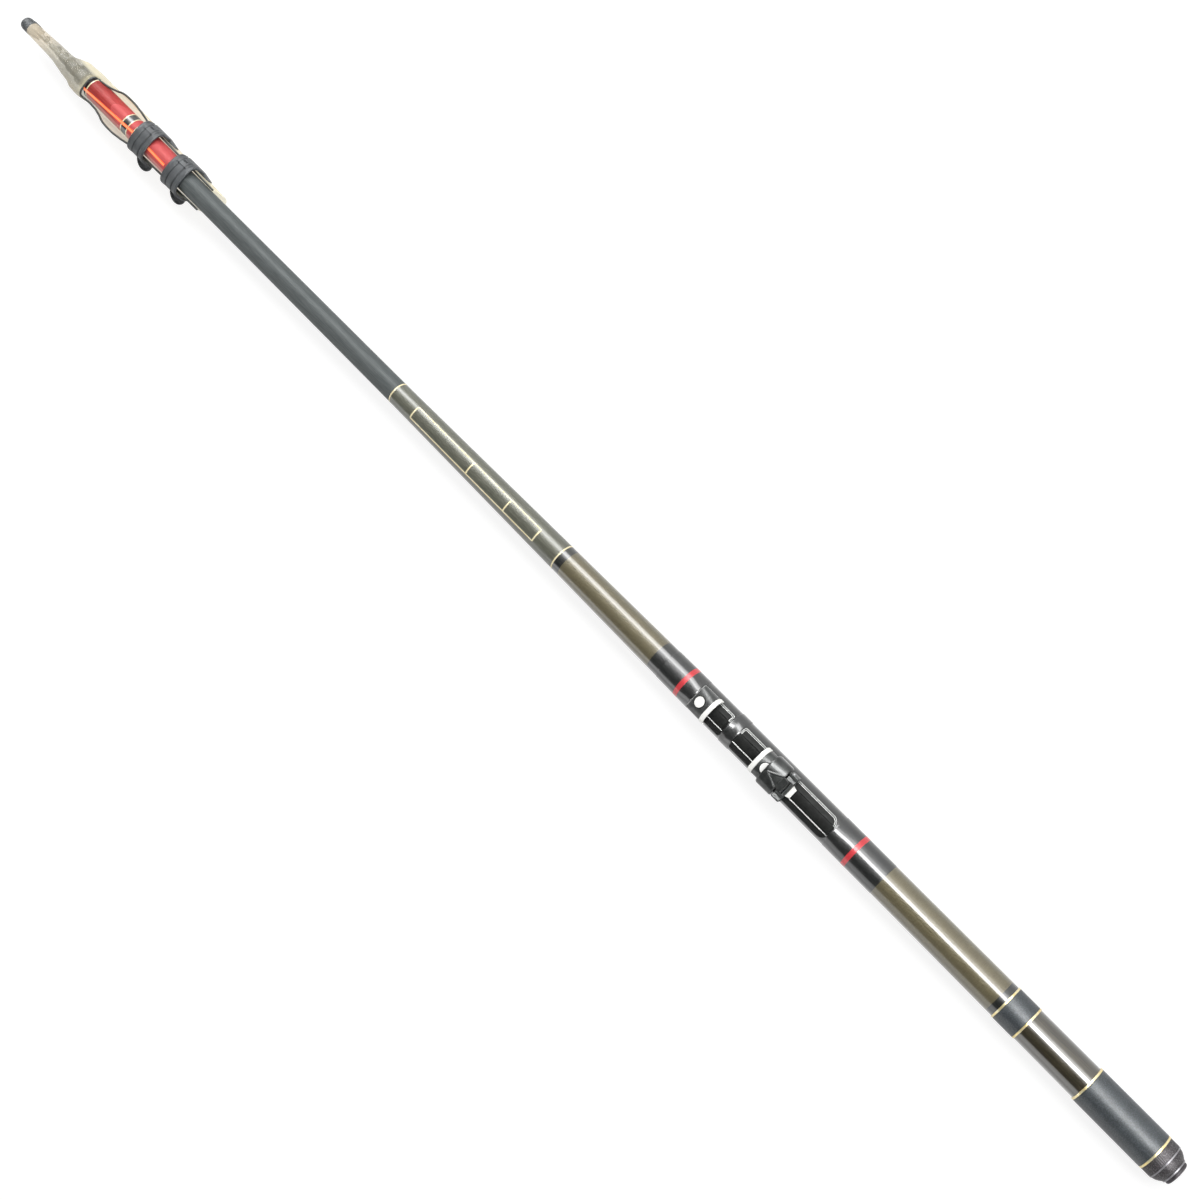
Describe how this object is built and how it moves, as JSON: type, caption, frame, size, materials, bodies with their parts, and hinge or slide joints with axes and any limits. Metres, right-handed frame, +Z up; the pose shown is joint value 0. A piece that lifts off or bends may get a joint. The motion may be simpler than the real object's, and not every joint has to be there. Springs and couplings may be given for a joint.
{
  "type": "telescopic fishing rod",
  "caption": "Collapsed telescopic shore rod with plate reel seat, ribbed rubber grip, screw tail cap, nested sections with hanging line guides and a clear strapped tip cover.",
  "frame": {"origin": "centre of the rod's box at the surface it lies on", "axes": "+X towards the tip, +Z up with the reel seat facing up, +Y to the side where the cover's straps are pulled"},
  "size_m": [1.156, 0.0326, 0.0368],
  "materials": {
    "carbon_gloss": "lacquered carbon fibre, bronze olive to slate",
    "rubber_grip": "matt non-slip rubber sleeve",
    "gilt": "polished pale gilt rings",
    "thread_black": "black thread binding under clear resin",
    "red_lacquer": "red lacquer over a thread binding",
    "seat_black": "satin black moulded seat parts",
    "silver": "bright stainless and plated trim",
    "cap_metal": "dark anodised aluminium",
    "rubber_black": "dark grey matt rubber",
    "carbon_matt": "sanded carbon fibre",
    "guide_frame": "polished stainless guide frames",
    "guide_ring": "dark ceramic rings",
    "film": "clear flexible vinyl film, slightly yellowed"
  },
  "bodies": {
    "butt": {"butt_blank": "carbon_gloss", "mouth_wrap": "red_lacquer", "trim_ring_1": "gilt", "trim_ring_2": "gilt", "trim_ring_3": "gilt", "trim_ring_4": "gilt", "front_grip_band": "rubber_grip", "rear_grip": "rubber_grip", "binding_front": "thread_black", "binding_middle": "thread_black", "binding_rear": "thread_black", "seat_plate_rear": "seat_black", "seat_plate_front": "seat_black", "fixed_hood": "seat_black", "fixed_hood_rim": "silver", "fixed_hood_inlay": "silver", "butt_insert": "silver"},
    "slide_hood": {"slide_hood": "seat_black", "slide_hood_rim": "silver", "slide_hood_inlay": "silver", "lever_cheeks": "seat_black", "lever_pin": "silver", "lock_tab": "silver"},
    "lock_lever": {"lock_lever": "seat_black"},
    "cap_seal": {"cap_seal": "rubber_black"},
    "tail_cap": {"tail_cap": "cap_metal", "cap_trim_rear": "silver", "cap_trim_front": "silver", "cap_end_pad": "rubber_black", "cap_bumper": "rubber_black"},
    "section_4": {"section_4_tube": "carbon_matt", "section_4_binding": "thread_black", "section_4_guide": "guide_frame", "section_4_ring": "guide_ring"},
    "section_3": {"section_3_tube": "carbon_matt", "section_3_binding": "thread_black", "section_3_guide": "guide_frame", "section_3_ring": "guide_ring"},
    "section_2": {"section_2_tube": "carbon_matt", "section_2_binding": "thread_black", "section_2_guide": "guide_frame", "section_2_ring": "guide_ring"},
    "tip_section": {"tip_section": "carbon_matt", "tip_guide": "guide_frame", "tip_guide_ring": "guide_ring"},
    "float_rear": {"float_guide_rear": "guide_frame", "float_guide_rear_ring": "guide_ring"},
    "float_front": {"float_guide_front": "guide_frame", "float_guide_front_ring": "guide_ring"},
    "tip_cover": {"cover_shell": "film", "cover_end_cap": "rubber_black", "cover_piping": "rubber_black", "strap_rear_anchor": "rubber_black", "strap_front_anchor": "rubber_black"},
    "strap_rear": {"strap_rear": "rubber_black", "strap_rear_pull_tab": "rubber_black"},
    "strap_front": {"strap_front": "rubber_black", "strap_front_pull_tab": "rubber_black"}
  },
  "joints": [
    {"name": "hood_slide", "type": "slide", "parent": "butt", "child": "slide_hood", "axis": [0.9999, 0, 0.0116], "range_m": [-0.03, 0.018]},
    {"name": "lever_swing", "type": "hinge", "parent": "slide_hood", "child": "lock_lever", "pos_m": [-0.25266, -0.00231, 0.03172], "axis": [0, -1, 0], "range_deg": [0, 35]},
    {"name": "cap_travel", "type": "slide", "parent": "butt", "child": "cap_seal", "axis": [-0.9999, 0, -0.0116], "range_m": [0, 0.009]},
    {"name": "cap_turn", "type": "hinge", "parent": "cap_seal", "child": "tail_cap", "pos_m": [-0.56067, -0.00231, 0.01292], "axis": [-0.9999, 0, -0.0116], "range_deg": [0, 2160]},
    {"name": "section_4_slide", "type": "slide", "parent": "butt", "child": "section_4", "axis": [0.9999, 0, 0.0116], "range_m": [0, 0.9911]},
    {"name": "section_3_slide", "type": "slide", "parent": "section_4", "child": "section_3", "axis": [0.9999, 0, 0.0116], "range_m": [0, 1.0111]},
    {"name": "section_2_slide", "type": "slide", "parent": "section_3", "child": "section_2", "axis": [0.9999, 0, 0.0116], "range_m": [0, 1.0291]},
    {"name": "tip_slide", "type": "slide", "parent": "section_2", "child": "tip_section", "axis": [0.9999, 0, 0.0116], "range_m": [0, 1.0451]},
    {"name": "float_rear_slide", "type": "slide", "parent": "tip_section", "child": "float_rear", "axis": [0.9999, 0, 0.0116], "range_m": [-0.7, 0]},
    {"name": "float_front_slide", "type": "slide", "parent": "tip_section", "child": "float_front", "axis": [0.9999, 0, 0.0116], "range_m": [-0.35, 0]},
    {"name": "cover_slide", "type": "slide", "parent": "tip_section", "child": "tip_cover", "axis": [0.9999, 0, 0.0116], "range_m": [0, 0.25]},
    {"name": "strap_rear_open", "type": "hinge", "parent": "tip_cover", "child": "strap_rear", "pos_m": [0.38279, -0.01461, 0.02223], "axis": [0.9999, 0, 0.0116], "range_deg": [0, 100]},
    {"name": "strap_front_open", "type": "hinge", "parent": "tip_cover", "child": "strap_front", "pos_m": [0.42319, -0.01461, 0.02269], "axis": [0.9999, 0, 0.0116], "range_deg": [0, 100]}
  ],
  "couplings": [
    {"joint": "cap_turn", "follows": "cap_travel", "rad_per_m": 4188},
    {"joint": "float_rear_slide", "follows": "tip_slide", "ratio": -0.66},
    {"joint": "float_front_slide", "follows": "tip_slide", "ratio": -0.33}
  ]
}
